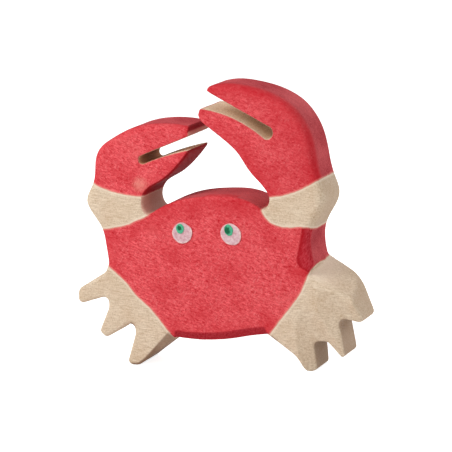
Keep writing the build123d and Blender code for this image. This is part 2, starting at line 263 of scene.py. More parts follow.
# %% Cut along the line
# a vertex this near to the line, in millimetres, counts as on it
SNAP = 0.06
for vert in skin.verts:
    if abs(vert[glaze_edge]) < SNAP:
        vert[glaze_edge] = 0
line = [vert for vert in skin.verts if vert[glaze_edge] == 0]
for edge in list(skin.edges):
    a, b = edge.verts
    if a[glaze_edge] * b[glaze_edge] < 0:
        share = a[glaze_edge] / (a[glaze_edge] - b[glaze_edge])
        _, vert = bmesh.utils.edge_split(edge, a, share)
        vert[glaze_edge] = 0
        line.append(vert)
bmesh.ops.connect_verts(skin, verts=line)
print("glaze line:", len(line), "vertices")

# %% [markdown]
# ## What the brush missed, where it pooled, and painted light and shade
# The brush did not reach into the two saw slots of the claws, so their walls are bare, and the blunt end
# of the small claw's upper finger got only a thin coat. Glaze pooled along outer edges and lies thicker
# on the large claw. The walls of the shell and claws get a painted sheen and shade, the palm of the small
# claw a painted deep shade, and the blind end of its slot a painted shade. The two knife bevels of the
# shell, under the belly and down the right side, hold pooled glaze and painted shade, and the gaps
# between the right legs get painted shade. One spot on the small claw was scuffed, and the top of the
# right knee gets a painted highlight. Painting all this by hand would need an image, so the places are
# found from a few points and from the way the skin faces, and are kept as numbers on the vertices, where
# the finishes can read them.

# %% Make room for the marks
MARKS = [
    "turn", "bare_slot", "slot_end_shade", "from_wall", "wall_sheen", "heavy_coat", "shaded_palm", "gap_shade",
    "lit_knee_and_scuff", "side_bevel", "belly_bevel",
]
mark = {name: skin.verts.layers.float.new(name) for name in MARKS}
skin.normal_update()
for vert in skin.verts:
    vert[mark["turn"]] = 1 - abs(vert.normal.y)
print("marks on each vertex:", len(mark))

# %% Bare slots, with painted shade at the small slot's blind end
# each slot is the x and z of its mouth and of its blind end, half its width at both, in millimetres, and
# how much painted shade darkens its blind end
SLOTS = [
    ((-7.7, 75.8), (-24.7, 69.9), 2.1, 1.35, 1.0),
    ((-2.4, 90.4), (20.1, 79.4), 3.05, 2.1, 0.0),
]
SLOT_MARGIN = 0.5
# shares of a slot's length, from its mouth
MOUTH_END, MOUTH_LIMIT, LIP = -0.12, -0.14, 0.1
SHADE_START, SHADE_FULL = 0.45, 0.8
# how far a face looks out of the mouth, and to the front where bare wood starts and where it is full
LIP_FACING, SLOT_FACING = 0.5, (0.8, 0.5)
for vert in skin.verts:
    place = Vector((vert.co.x, vert.co.z)) / MM
    for mouth, end, wide, narrow, slot_shade in SLOTS:
        run = Vector(end) - Vector(mouth)
        along = (place - Vector(mouth)).dot(run) / run.length_squared
        inside = min(1, max(MOUTH_END, along))
        away = (place - Vector(mouth) - run * inside).length
        outwards = -Vector((vert.normal.x, vert.normal.z)).dot(run.normalized())
        if along < LIP and outwards > LIP_FACING:
            continue
        half_width = wide + (narrow - wide) * max(0, inside)
        if away < half_width + SLOT_MARGIN and along > MOUTH_LIMIT:
            bare = ramp(abs(vert.normal.y), *SLOT_FACING)
            vert[mark["bare_slot"]] = bare
            vert[mark["slot_end_shade"]] = slot_shade * ramp(along, SHADE_START, SHADE_FULL) * bare
print("bare in the slots:", sum(vert[mark["bare_slot"]] > 0.5 for vert in skin.verts), "vertices")

# %% The blunt nose of the small claw
# a box is its least and greatest x, then its least and greatest z, in millimetres
NOSE_TOP = 79.9
NOSE = (-8.6, 0, 75.4, NOSE_TOP)
NOSE_FACING, NOSE_FADE, NOSE_MOST = 0.5, 2, 0.45


def within(x, z, box):
    left, right, low, high = box
    return left < x < right and low < z < high


nose = 0
for vert in skin.verts:
    x, _, z = vert.co / MM
    if within(x, z, NOSE) and vert.normal.x > NOSE_FACING:
        thin = min(NOSE_MOST, (NOSE_TOP - z) / NOSE_FADE)
        vert[mark["bare_slot"]] = max(vert[mark["bare_slot"]], thin)
        nose += 1
print("thinly glazed on the nose:", nose, "vertices")

# %% Glaze that gathered at the outer edges
# in millimetres: where the claws start, and how far left the large one reaches, lower down and at its tip
CLAWS_START, LARGE_LEFT, TIP_START, TIP_LEFT = 58, -3, 83, -10
# how far the brush kept from the edges of the large and the small claw, and the most that counts
LARGE_KEPT_OFF, SMALL_KEPT_OFF, FAR = 1.5, 3.5, 12
WALL, STILL_GLAZED = 0.9, 0.1


def on_large_claw(x, z):
    return z > CLAWS_START and (x > LARGE_LEFT or z > TIP_START and x > TIP_LEFT)


walls = [v for v in skin.verts if v[mark["turn"]] > WALL and v[mark["bare_slot"]] < STILL_GLAZED]
wall_tree = KDTree(len(walls))
for i, vert in enumerate(walls):
    wall_tree.insert(vert.co, i)
wall_tree.balance()
for vert in skin.verts:
    x, _, z = vert.co / MM
    kept_off = 0
    if z > CLAWS_START:
        kept_off = LARGE_KEPT_OFF if on_large_claw(x, z) else SMALL_KEPT_OFF
    vert[mark["from_wall"]] = min(FAR, wall_tree.find(vert.co)[2] / MM + kept_off)
print("wall vertices:", len(walls))

# %% Painted sheen and shade on the walls, the thicker coat of the large claw, and painted shade on the palm and in the gaps between the right legs
# each pair is where a mark starts and where it is full, by the way the skin faces or in millimetres
WALL_TURN, GAP_TURN, PALM_FACING = (0.6, 0.93), (0.5, 0.9), (0.24, 0.34)
HEAVY_OUTWARDS, HEAVY_UPWARDS, BEHIND_FRONT = (8, 34), (84, 96), (-7.5, -3.5)
PALM, RIGHT_GAPS = (-32, 0, 45, 84), (25, 44, -1, 20)
# up to this height the floor of the palm gets painted shade as well as its wall
PALM_FLOOR = 59
for vert in skin.verts:
    x, y, z = vert.co / MM
    turned = vert[mark["turn"]]
    # walls turned away from the front carry painted sheen and shade
    vert[mark["wall_sheen"]] = ramp(turned, *WALL_TURN)
    if on_large_claw(x, z):
        vert[mark["heavy_coat"]] = max(ramp(x, *HEAVY_OUTWARDS), ramp(z, *HEAVY_UPWARDS))
        if y < 0:
            vert[mark["wall_sheen"]] *= ramp(y, *BEHIND_FRONT)
    # the palm of the small claw, facing right and down, gets painted shade; on the bare wood of the arm
    # it is a painted red bounce light
    if within(x, z, PALM) and vert[mark["bare_slot"]] < STILL_GLAZED:
        facing = vert.normal.x
        if facing >= 0 and z <= PALM_FLOOR:
            facing = math.hypot(vert.normal.x, vert.normal.z)
        vert[mark["shaded_palm"]] = ramp(facing, *PALM_FACING)
    # the walls of the gaps between the right legs get painted shade
    if within(x, z, RIGHT_GAPS):
        vert[mark["gap_shade"]] = ramp(turned, *GAP_TURN)
print("palm vertices:", sum(vert[mark["shaded_palm"]] > 0.5 for vert in skin.verts))

# %% The painted highlight on the right knee and the scuffed spot
KNEE, KNEE_FACING, KNEE_FADE = (31, 48, 22, 38), (0.45, 0.75), (42, 34)
SCUFF, SCUFF_REACH = Vector((-25.4, -10, 61.6)), 4.5
for vert in skin.verts:
    x, _, z = vert.co / MM
    # the up-facing top of the right knee gets a painted highlight; the scuffed spot is real wear
    if within(x, z, KNEE):
        vert[mark["lit_knee_and_scuff"]] = ramp(vert.normal.z, *KNEE_FACING) * ramp(x, *KNEE_FADE)
    scuffed = 1 - (vert.co / MM - SCUFF).length / SCUFF_REACH
    if scuffed > 0:
        vert[mark["lit_knee_and_scuff"]] = scuffed
print("fresh or scuffed:", sum(vert[mark["lit_knee_and_scuff"]] > 0.5 for vert in skin.verts), "vertices")

# %% The two bevels, with pooled glaze and painted shade
# where the right bevel starts on the front, from the shoulder down, as x and z in millimetres
BEVEL_START = [(31.3, 51), (30.2, 44.6), (28.8, 38.6), (28.9, 36.9), (29.8, 35.5), (33.5, 33.3)]
OFF_BEVEL = -5
BELLY, BELLY_FACING = (-31, 21, -1, 20), (0.12, 0.32)
# on the bare left foot the bevel's painted shade is weaker towards the belly
FOOT_FADE, FOOT_LEAST = (-15, -23), 0.7
for vert in skin.verts:
    x, y, z = vert.co / MM
    vert[mark["side_bevel"]] = OFF_BEVEL
    # right of this start the glaze is darker, as pooled glaze and painted shade of the bevel
    for (x_high, z_high), (x_low, z_low) in zip(BEVEL_START, BEVEL_START[1:]):
        if z_low <= z <= z_high and y < 0:
            start = x_high + (x_low - x_high) * (z_high - z) / (z_high - z_low)
            vert[mark["side_bevel"]] = max(OFF_BEVEL, x - start)
    # the down-facing bevel under the belly gets painted shade, and on the glaze also pooled red
    if within(x, z, BELLY):
        under = ramp(-vert.normal.z, *BELLY_FACING)
        if vert[glaze_edge] < 0:
            under *= max(FOOT_LEAST, ramp(x, *FOOT_FADE))
        vert[mark["belly_bevel"]] = under
print("right bevel:", sum(vert[mark["side_bevel"]] > 0 for vert in skin.verts), "vertices")
print("belly bevel:", sum(vert[mark["belly_bevel"]] > 0.5 for vert in skin.verts), "vertices")

# %% [markdown]
# ## Part the skin into its fields
# Every field is a piece of its own again, as in the frame, and stands for its node. A face belongs to
# the field whose solid is nearest on its own side of the glaze line. The open rim of each field is
# closed with a cap inside the wood, and the rim's edges are sharp, so that shading does not bend round
# into the cap.

# %% Give each face to its field
fields = GLAZED + BARE
field_trees = {name: BVHTree.FromBMesh(gathered([name])) for name in fields}
field_of = skin.faces.layers.int.new("field")
for face in skin.faces:
    middle = face.calc_center_median()
    side = sum(vert[glaze_edge] for vert in face.verts)
    names = GLAZED if side > 0 else BARE
    near = min(names, key=lambda name: field_trees[name].find_nearest(middle)[3])
    face[field_of] = fields.index(near)
print({name: sum(face[field_of] == i for face in skin.faces) for i, name in enumerate(fields)})


# %% Make one closed piece for each field
def field_piece(name):
    mesh = skin.copy()
    layer = mesh.faces.layers.int["field"]
    others = [face for face in mesh.faces if face[layer] != fields.index(name)]
    bmesh.ops.delete(mesh, geom=others, context="FACES")
    rim = [edge for edge in mesh.edges if edge.is_boundary]
    for face in mesh.faces:
        face.smooth = True
    for edge in rim:
        edge.smooth = False
    caps = bmesh.ops.holes_fill(mesh, edges=rim, sides=0)["faces"]
    bmesh.ops.triangulate(mesh, faces=caps)
    bmesh.ops.recalc_face_normals(mesh, faces=mesh.faces)
    loose = sum(not edge.is_manifold for edge in mesh.edges)
    print(name, len(mesh.faces), "faces,", len(rim), "rim edges,", loose, "open edges")
    piece = new_object(name + "_wood", mesh)
    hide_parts(name)
    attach(piece, "root")
    return piece


pieces = {name: field_piece(name) for name in fields}

# %% [markdown]
# ## Eyes
# Each eye is a dab of thick off-white paint with a smaller dab of green on it. A flat disc would look
# printed, and a brush tip leaves a soft dab whose outline wavers. So a circle is filled, pressed
# forward and inset step by step, which rounds its rim, and noise then pulls the rim about. Its back
# sinks into what carries it.

# %% A dab of paint
CORNERS = 56
# each step is how far it goes in from the rim, and its share of the dome's height
RIM_STEPS = ((0.06, 0.45), (0.10, 0.30), (0.14, 0.18), (0.2, 0.07), (0.2, 0))
DOME, RIM_HEIGHT = 0.5, 0.49
SINK = 2.5
BROAD_WAVES, FINE_WAVES, FINE_SHARE = 1.3, 3.7, 0.4


def paint_dab(node, waver, seed, stretch, lean=0, core=(0, 0), reach=0.9):
    low, high = (Vector(corner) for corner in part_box(node))
    middle, half = (low + high) / 2, (high - low) / 2
    mesh = bmesh.new()
    bmesh.ops.create_circle(mesh, cap_ends=True, segments=CORNERS, radius=1)
    upright = Matrix.Rotation(math.radians(90), 3, "X")
    bmesh.ops.rotate(mesh, verts=mesh.verts, matrix=upright)
    grown = bmesh.ops.extrude_face_region(mesh, geom=mesh.faces[:])["geom"]
    front = [part for part in grown if isinstance(part, bmesh.types.BMFace)]
    bmesh.ops.translate(mesh, verts=front[0].verts, vec=(0, -half.y * RIM_HEIGHT, 0))
    for inset, rise in RIM_STEPS:
        bmesh.ops.inset_region(mesh, faces=front, thickness=inset, depth=0)
        bmesh.ops.translate(mesh, verts=front[0].verts, vec=(0, -rise * half.y * DOME, 0))
    bmesh.ops.poke(mesh, faces=front)
    rim = mesh.verts.layers.float.new("rim")
    dark = mesh.verts.layers.float.new("dark_core")
    for vert in mesh.verts:
        spot = Vector((vert.co.x, vert.co.z))
        vert[rim] = spot.length
        vert[dark] = max(0, 1 - (spot - Vector(core)).length / reach)
        outwards = Vector((*spot.normalized(), seed))
        pull = 1 - waver + waver * noise.noise(outwards * BROAD_WAVES)
        pull += FINE_SHARE * waver * noise.noise(outwards * FINE_WAVES)
        vert.co.x *= pull * half.x * stretch[0]
        vert.co.z *= pull * half.z * stretch[1]
        if vert.co.y == 0:
            vert.co.y = half.y * SINK
    turned = Matrix.Rotation(math.radians(lean), 3, "Y")
    bmesh.ops.rotate(mesh, verts=mesh.verts, matrix=turned)
    bmesh.ops.translate(mesh, verts=mesh.verts, vec=middle)
    for face in mesh.faces:
        face.smooth = True
    bmesh.ops.recalc_face_normals(mesh, faces=mesh.faces)
    piece = new_object(node + "_dab", mesh)
    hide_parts(node)
    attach(piece, "root")
    print(piece.name, len(mesh.faces), "faces")
    return piece


# %% Two whites and two irises
# each dab is its node, how far its outline wavers, where its noise starts and how far it is stretched
eye_whites = [
    paint_dab("left_eye_white", 0.07, 1.7, (1.06, 1.04)),
    paint_dab("right_eye_white", 0.05, 4.1, (1.12, 1.0), lean=45),
]
irises = [
    paint_dab("left_iris", 0.08, 8.3, (1.02, 1.1), lean=-4, core=(-0.1, 0.1), reach=0.75),
    paint_dab("right_iris", 0.08, 2.2, (1.1, 1.25), lean=-14, core=(-0.35, 0.0), reach=0.98),
]
print("eyes:", len(eye_whites), "whites and", len(irises), "irises")

# %% [markdown]
# ## Tools for the finishes
# Colours are written as sRGB hex, the way a picture shows them, and one function turns them into the
# linear values that the renderer mixes. Another adds a node, sets its values and makes its links. A
# finish is then a stack of colours: each one is laid over those before it, by a share between 0 and 1
# that noise or a mark on the vertices gives.

# %% Helpers for materials
# the sockets of a Mix node that mixes colours, three inputs and the output
FACTOR, UNDER, OVER, MIXED = 0, 6, 7, 2


def linear(hex_colour):
    parts = [int(hex_colour[i:i + 2], 16) / 255 for i in (1, 3, 5)]
    return (*[p / 12.92 if p <= 0.04045 else ((p + 0.055) / 1.055) ** 2.4 for p in parts], 1)


def add(tree, kind, inputs=None, **settings):
    made = tree.nodes.new(kind)
    for name, value in settings.items():
        setattr(made, name, value)
    for socket, value in (inputs or {}).items():
        if isinstance(value, bpy.types.NodeSocket):
            tree.links.new(value, made.inputs[socket])
        else:
            made.inputs[socket].default_value = value
    return made


def new_material(name):
    material = bpy.data.materials.new(name)
    material.use_nodes = True
    tree = material.node_tree
    tree.nodes.clear()
    shader = add(tree, "ShaderNodeBsdfPrincipled")
    add(tree, "ShaderNodeOutputMaterial", {"Surface": shader.outputs["BSDF"]})
    return material, tree, shader


print("#C8AF92 is", [round(c, 3) for c in linear("#C8AF92")[:3]], "in linear light")

# %% [markdown]
# ## Bare limewood
# Limewood is pale, close-grained and matt after sanding. Its fibres run across the crab, along x, so
# noise is stretched into streaks that are long in x. Real fibres are finer than the streaks here, which
# are drawn as coarse as they need to be to show. A picture of wood would need to be wrapped round the
# board, while noise in space runs through it as real fibres do.

# %% The wood's colour, which both finishes share
# a streak's length, depth and width, and below it a pore's size, are coarser than real ones, to show
FIBRE, FIBRE_LEAN = (3.0 * MM, 0.7 * MM, 0.38 * MM), math.radians(5)
MOTTLE, PORE = 7 * MM, 0.5 * MM


def wood_colour(tree):
    place = add(tree, "ShaderNodeTexCoord").outputs["Object"]
    along_fibres = add(tree, "ShaderNodeMapping", {
        "Vector": place, "Rotation": (0, FIBRE_LEAN, 0), "Scale": FIBRE}, vector_type="TEXTURE")
    fibre = add(tree, "ShaderNodeTexNoise", {
        "Vector": along_fibres.outputs[0], "Scale": 1, "Detail": 4, "Roughness": 0.65}).outputs[0]
    mottle = add(tree, "ShaderNodeTexNoise", {
        "Vector": place, "Scale": 1 / MOTTLE, "Detail": 2, "Roughness": 0.5}).outputs[0]
    speck = add(tree, "ShaderNodeTexNoise", {
        "Vector": place, "Scale": 1 / PORE, "Detail": 2, "Roughness": 0.7}).outputs[0]
    streaks = add(tree, "ShaderNodeMapRange", {
        "Value": fibre, "From Min": 0.32, "From Max": 0.68}).outputs[0]
    patches = add(tree, "ShaderNodeMapRange", {
        "Value": mottle, "From Min": 0.42, "From Max": 0.8, "To Max": 0.45}).outputs[0]
    pores = add(tree, "ShaderNodeMapRange", {
        "Value": speck, "From Min": 0.52, "From Max": 0.75, "To Max": 0.6}).outputs[0]
    glints = add(tree, "ShaderNodeMapRange", {
        "Value": speck, "From Min": 0.45, "From Max": 0.25, "To Max": 0.6}).outputs[0]
    colour = linear("#C8AF92")
    for share, tint in (
            (streaks, "#EAD8C0"), (patches, "#C6A685"), (pores, "#A98C6D"), (glints, "#F0E2CF")):
        colour = add(tree, "ShaderNodeMix", {
            FACTOR: share, UNDER: colour, OVER: linear(tint)}, data_type="RGBA").outputs[MIXED]
    return place, fibre, speck, colour


# %% Bare limewood, sanded
# It is matt and cream to tan, with short streaks and open pores. Its walls are darker, partly for the end
# grain that the saw cut and partly as painted shade.
limewood, tree, shader = new_material("bare_limewood_sanded")
place, fibre, speck, colour = wood_colour(tree)
marks = {name: add(tree, "ShaderNodeAttribute", attribute_name=name).outputs["Fac"] for name in (
    "turn", "belly_bevel", "lit_knee_and_scuff", "gap_shade", "shaded_palm", "glaze_edge")}
# walls turned away from the front: darker end grain and painted shade
sawn_and_shaded = add(tree, "ShaderNodeMapRange", {
    "Value": marks["turn"], "From Min": 0.7, "From Max": 1.0, "To Max": 0.28}).outputs[0]
coats = [(sawn_and_shaded, "#A88468")]
# painted shade on the belly bevel and in the gaps between the right legs, a painted highlight on the top
# of the right knee along with the real scuffed spot, and a painted red bounce light on the walls of the
# small claw's palm
for name, strength, tint in (
        ("belly_bevel", 0.95, "#8F7058"), ("lit_knee_and_scuff", 0.6, "#F8E6D0"),
        ("gap_shade", 0.4, "#8A6A58"), ("shaded_palm", 0.6, "#BE7067")):
    share = add(tree, "ShaderNodeMath", {0: marks[name], 1: strength}, operation="MULTIPLY")
    coats.append((share.outputs[0], tint))
print(limewood.name, "has", len(coats), "tints")

# %% The pale line along the glaze, and the wood's relief
beside = add(tree, "ShaderNodeMapRange", {
    "Value": marks["glaze_edge"], "From Min": -0.8, "From Max": -0.2, "To Max": 0.55})
off_palm = add(tree, "ShaderNodeMath", {0: 1, 1: marks["shaded_palm"]}, operation="SUBTRACT")
pale_line = add(tree, "ShaderNodeMath", {
    0: beside.outputs[0], 1: off_palm.outputs[0]}, operation="MULTIPLY").outputs[0]
for share, tint in coats + [(pale_line, "#F1DEC9")]:
    colour = add(tree, "ShaderNodeMix", {
        FACTOR: share, UNDER: colour, OVER: linear(tint)}, data_type="RGBA").outputs[MIXED]
tree.links.new(colour, shader.inputs["Base Color"])
shader.inputs["Roughness"].default_value = 0.75
shader.inputs["Specular IOR Level"].default_value = 0.3
shader.inputs["IOR"].default_value = 1.45
fibres = add(tree, "ShaderNodeBump", {"Height": fibre, "Strength": 0.3, "Distance": 0.1 * MM})
relief = add(tree, "ShaderNodeBump", {
    "Height": speck, "Strength": 0.3, "Distance": 0.08 * MM, "Normal": fibres.outputs[0]})
tree.links.new(relief.outputs[0], shader.inputs["Normal"])
print(limewood.name, len(tree.nodes), "nodes")

# %% [markdown]
# ## Red glaze on limewood
# The glaze is thin enough for the fibres to show as lighter streaks. It was brushed on a slant and
# across, and pools in deeper patches, along outer edges and on the bevels, where painted shade darkens it
# further. Walls get a painted sheen and shade, and the palm of the small claw a painted deep shade. Its
# edge wavers and leaves a pale line of wood along the cut, and the slots stay bare, lightened as painted
# light and darkened at the small slot's blind end as painted shade. Two materials, wood and glaze, could
# meet at the edge, but then it could not waver, so all of that is one material over the wood's own
# colour.

# %% Brush strokes and pools
# Thin red glaze is matt, pinkish where the brush ran dry and deep red where it pooled.
# A bristle's marks are finer than these strokes, which are as coarse as they need to be to show.
STROKE, STROKE_LEAN = (1.5 * MM, 0.7 * MM, 0.5 * MM), math.radians(20)
CROSS_STROKE, CROSS_LEAN = (1.2 * MM, 0.7 * MM, 0.5 * MM), math.radians(-62)
POOL, SECOND_COAT = 10 * MM, 7 * MM
glaze, tree, shader = new_material("red_glaze_on_limewood")
place, _, speck, wood = wood_colour(tree)
along_brush = add(tree, "ShaderNodeMapping", {
    "Vector": place, "Rotation": (0, STROKE_LEAN, 0), "Scale": STROKE}, vector_type="TEXTURE")
brush = add(tree, "ShaderNodeTexNoise", {
    "Vector": along_brush.outputs[0], "Scale": 1, "Detail": 4, "Roughness": 0.7,
    "Distortion": 0.8}).outputs[0]
across_brush = add(tree, "ShaderNodeMapping", {
    "Vector": place, "Rotation": (0, CROSS_LEAN, 0), "Scale": CROSS_STROKE}, vector_type="TEXTURE")
cross = add(tree, "ShaderNodeTexNoise", {
    "Vector": across_brush.outputs[0], "Scale": 1, "Detail": 3, "Roughness": 0.7}).outputs[0]
pool = add(tree, "ShaderNodeTexNoise", {
    "Vector": place, "Scale": 1 / POOL, "Detail": 3, "Roughness": 0.6}).outputs[0]
strokes = add(tree, "ShaderNodeTexNoise", {
    "Vector": place, "Scale": 1 / SECOND_COAT, "Detail": 4, "Roughness": 0.65}).outputs[0]
marks = {name: add(tree, "ShaderNodeAttribute", attribute_name=name).outputs["Fac"] for name in (
    "lit_knee_and_scuff", "heavy_coat", "from_wall", "wall_sheen", "shaded_palm", "side_bevel", "belly_bevel",
    "glaze_edge", "bare_slot", "slot_end_shade")}
print(glaze.name, "reads", len(marks), "marks")

# %% How much of each red
HEAVY_SHARE, THICKER_EDGE = 0.3, 0.3
thin = add(tree, "ShaderNodeMapRange", {
    "Value": brush, "From Min": 0.32, "From Max": 0.68}).outputs[0]
dry = add(tree, "ShaderNodeMapRange", {
    "Value": cross, "From Min": 0.52, "From Max": 0.75, "To Max": 0.6}).outputs[0]
deep = add(tree, "ShaderNodeMapRange", {
    "Value": pool, "From Min": 0.48, "From Max": 0.78, "To Max": 0.65}).outputs[0]
pale = add(tree, "ShaderNodeMapRange", {
    "Value": pool, "From Min": 0.46, "From Max": 0.25, "To Max": 0.4}).outputs[0]
# the scuffed spot is real wear; the same mark holds the painted highlight on the right knee
scratches = add(tree, "ShaderNodeMath", {0: marks["lit_knee_and_scuff"], 1: cross}, operation="MULTIPLY")
scuffed = add(tree, "ShaderNodeMapRange", {
    "Value": scratches.outputs[0], "From Min": 0.12, "From Max": 0.42, "To Max": 0.55}).outputs[0]
heavy = add(tree, "ShaderNodeMath", {
    0: marks["heavy_coat"], 1: HEAVY_SHARE}, operation="MULTIPLY").outputs[0]
near_wall = add(tree, "ShaderNodeMapRange", {
    "Value": marks["from_wall"], "From Min": 9, "From Max": 2}, interpolation_type="SMOOTHSTEP")
laid_twice = add(tree, "ShaderNodeMapRange", {
    "Value": strokes, "From Min": 0.36, "From Max": 0.64, "To Min": 0.2, "To Max": 0.55})
thickest = add(tree, "ShaderNodeMath", {
    0: marks["heavy_coat"], 1: THICKER_EDGE, 2: laid_twice.outputs[0]}, operation="MULTIPLY_ADD")
edged = add(tree, "ShaderNodeMath", {
    0: near_wall.outputs[0], 1: thickest.outputs[0]}, operation="MULTIPLY").outputs[0]
red = linear("#BE1C27")
for share, tint in (
        (thin, "#F66A6F"), (dry, "#F28A8B"), (deep, "#C01F29"), (pale, "#E86C6C"),
        (scuffed, "#F0A193"), (heavy, "#B41F2A"), (edged, "#C4222C")):
    red = add(tree, "ShaderNodeMix", {
        FACTOR: share, UNDER: red, OVER: linear(tint)}, data_type="RGBA").outputs[MIXED]
print(glaze.name, "has its reds")

# %% Painted sheen and shade on the walls, and painted shade on the palm
PALM_SHADE_SHARE = 0.85
# walls get a duller red, mottled by noise, as painted sheen and shade
wall = add(tree, "ShaderNodeMapRange", {
    "Value": marks["wall_sheen"]}, interpolation_type="SMOOTHSTEP").outputs[0]
grain = add(tree, "ShaderNodeMath", {0: speck, 1: pool}, operation="ADD")
sheen_mottle = add(tree, "ShaderNodeMapRange", {
    "Value": grain.outputs[0], "From Min": 0.75, "From Max": 1.25})
sheen_red = add(tree, "ShaderNodeMix", {
    FACTOR: sheen_mottle.outputs[0], UNDER: linear("#A8343C"), OVER: linear("#D65E62")},
    data_type="RGBA").outputs[MIXED]
# a dark red on the palm's walls is painted shade
palm_shade = add(tree, "ShaderNodeMath", {
    0: marks["shaded_palm"], 1: PALM_SHADE_SHARE}, operation="MULTIPLY").outputs[0]
print("walls added")

# %% Bevels with a ragged start, in pooled glaze and painted shade
# how far the brush moves the start of the bevel, in millimetres
RAGGED = 1.6
ragged = add(tree, "ShaderNodeMath", {
    0: brush, 1: RAGGED, 2: marks["side_bevel"]}, operation="MULTIPLY_ADD").outputs[0]
band = add(tree, "ShaderNodeMapRange", {
    "Value": ragged, "From Min": 0.4, "From Max": 1.1}).outputs[0]
off_wall = add(tree, "ShaderNodeMath", {0: 1, 1: wall}, operation="SUBTRACT")
banded = add(tree, "ShaderNodeMath", {0: band, 1: off_wall.outputs[0]}, operation="MULTIPLY")
bevel = add(tree, "ShaderNodeMath", {
    0: banded.outputs[0], 1: marks["belly_bevel"]}, operation="MAXIMUM").outputs[0]
streaky = add(tree, "ShaderNodeMapRange", {"Value": cross, "From Min": 0.35, "From Max": 0.65})
bevel_red = add(tree, "ShaderNodeMix", {
    FACTOR: streaky.outputs[0], UNDER: linear("#AC1C27"), OVER: linear("#C8414A")},
    data_type="RGBA").outputs[MIXED]
# a dark first line along the start of the band is painted shade
first_line = add(tree, "ShaderNodeMapRange", {
    "Value": ragged, "From Min": 2.4, "From Max": 1.1, "To Max": 0.8})
lined = add(tree, "ShaderNodeMath", {
    0: first_line.outputs[0], 1: band}, operation="MULTIPLY").outputs[0]
print("bevels added")

# %% The wavering edge of the glaze
WAVER = 2.0 * MM
waver = add(tree, "ShaderNodeTexNoise", {
    "Vector": place, "Scale": 1 / WAVER, "Detail": 3, "Roughness": 0.6})
shift = add(tree, "ShaderNodeMapRange", {
    "Value": waver.outputs[0], "From Min": 0.3, "From Max": 0.7, "To Max": 0.28})
inside = add(tree, "ShaderNodeMath", {
    0: marks["glaze_edge"], 1: shift.outputs[0]}, operation="SUBTRACT").outputs[0]
covered = add(tree, "ShaderNodeMapRange", {
    "Value": inside, "From Min": -0.15, "From Max": 0.15}).outputs[0]
fringe = add(tree, "ShaderNodeMapRange", {
    "Value": inside, "From Min": 0.7, "From Max": 0.1, "To Max": 0.55}).outputs[0]
for share, tint in (
        (wall, sheen_red), (palm_shade, linear("#8E1019")), (bevel, bevel_red),
        (lined, linear("#A30A16")), (fringe, linear("#EBA091"))):
    red = add(tree, "ShaderNodeMix", {
        FACTOR: share, UNDER: red, OVER: tint}, data_type="RGBA").outputs[MIXED]
print("edge added")

# %% The bare slots under it, with painted light and shade, and the glaze's relief
SLOT_SHADE_SHARE = 0.8
slot = marks["bare_slot"]
painted = add(tree, "ShaderNodeMath", {0: 1, 1: slot}, operation="SUBTRACT", use_clamp=True)
coat = add(tree, "ShaderNodeMath", {
    0: covered, 1: painted.outputs[0]}, operation="MULTIPLY", use_clamp=True).outputs[0]
# the slot walls are lighter than the wood, as painted light where little light gets in
rough_cut = add(tree, "ShaderNodeMapRange", {"Value": speck, "From Min": 0.35, "From Max": 0.65})
lit_slot_wood = add(tree, "ShaderNodeMix", {
    FACTOR: rough_cut.outputs[0], UNDER: linear("#F6DFC6"), OVER: linear("#D2B294")},
    data_type="RGBA").outputs[MIXED]
# the blind end of the small slot is darker, as painted shade
slot_shade = add(tree, "ShaderNodeMath", {
    0: marks["slot_end_shade"], 1: SLOT_SHADE_SHARE}, operation="MULTIPLY").outputs[0]
for share, tint in ((slot, lit_slot_wood), (slot_shade, linear("#B87850")), (coat, red)):
    wood = add(tree, "ShaderNodeMix", {
        FACTOR: share, UNDER: wood, OVER: tint}, data_type="RGBA").outputs[MIXED]
tree.links.new(wood, shader.inputs["Base Color"])
shader.inputs["Roughness"].default_value = 0.65
shader.inputs["Specular IOR Level"].default_value = 0.02
shader.inputs["IOR"].default_value = 1.47
furrows = add(tree, "ShaderNodeBump", {"Height": brush, "Strength": 0.3, "Distance": 0.1 * MM})
relief = add(tree, "ShaderNodeBump", {
    "Height": cross, "Strength": 0.3, "Distance": 0.08 * MM, "Normal": furrows.outputs[0]})
tree.links.new(relief.outputs[0], shader.inputs["Normal"])
print(glaze.name, len(tree.nodes), "nodes")

# %% [markdown]
# ## Eye paints
# The white is thin over the red, so it dries pinkish in the middle and whiter where it gathered at the
# rim. The green is thicker, with a darker core. Both are water paints with a soft sheen. The rim and
# the core could be pieces of their own, but paint runs together, so marks on the dabs blend them.

# %% Off-white paint over red
# Thin white over red is a cloudy pink, with a broken white ridge just inside its rim.
CLOUD, BREAK = 0.9 * MM, 1.6 * MM
eye_white, tree, shader = new_material("off_white_paint_over_red")
place = add(tree, "ShaderNodeTexCoord").outputs["Object"]
rim = add(tree, "ShaderNodeAttribute", attribute_name="rim").outputs["Fac"]
cloud = add(tree, "ShaderNodeTexNoise", {
    "Vector": place, "Scale": 1 / CLOUD, "Detail": 3, "Roughness": 0.7})
thick = add(tree, "ShaderNodeMapRange", {
    "Value": cloud.outputs[0], "From Min": 0.3, "From Max": 0.7}).outputs[0]
near_rim = add(tree, "ShaderNodeMapRange", {
    "Value": rim, "From Min": 0.8, "From Max": 0.92, "To Max": 0.8},
    interpolation_type="SMOOTHSTEP")
broken = add(tree, "ShaderNodeTexNoise", {
    "Vector": place, "Scale": 1 / BREAK, "Detail": 2, "Roughness": 0.6})
lengths = add(tree, "ShaderNodeMapRange", {
    "Value": broken.outputs[0], "From Min": 0.42, "From Max": 0.6})
ridge = add(tree, "ShaderNodeMath", {
    0: near_rim.outputs[0], 1: lengths.outputs[0]}, operation="MULTIPLY").outputs[0]
thinned = add(tree, "ShaderNodeMapRange", {
    "Value": rim, "From Min": 0.9, "From Max": 1.0, "To Max": 0.7}).outputs[0]
white = linear("#C28992")
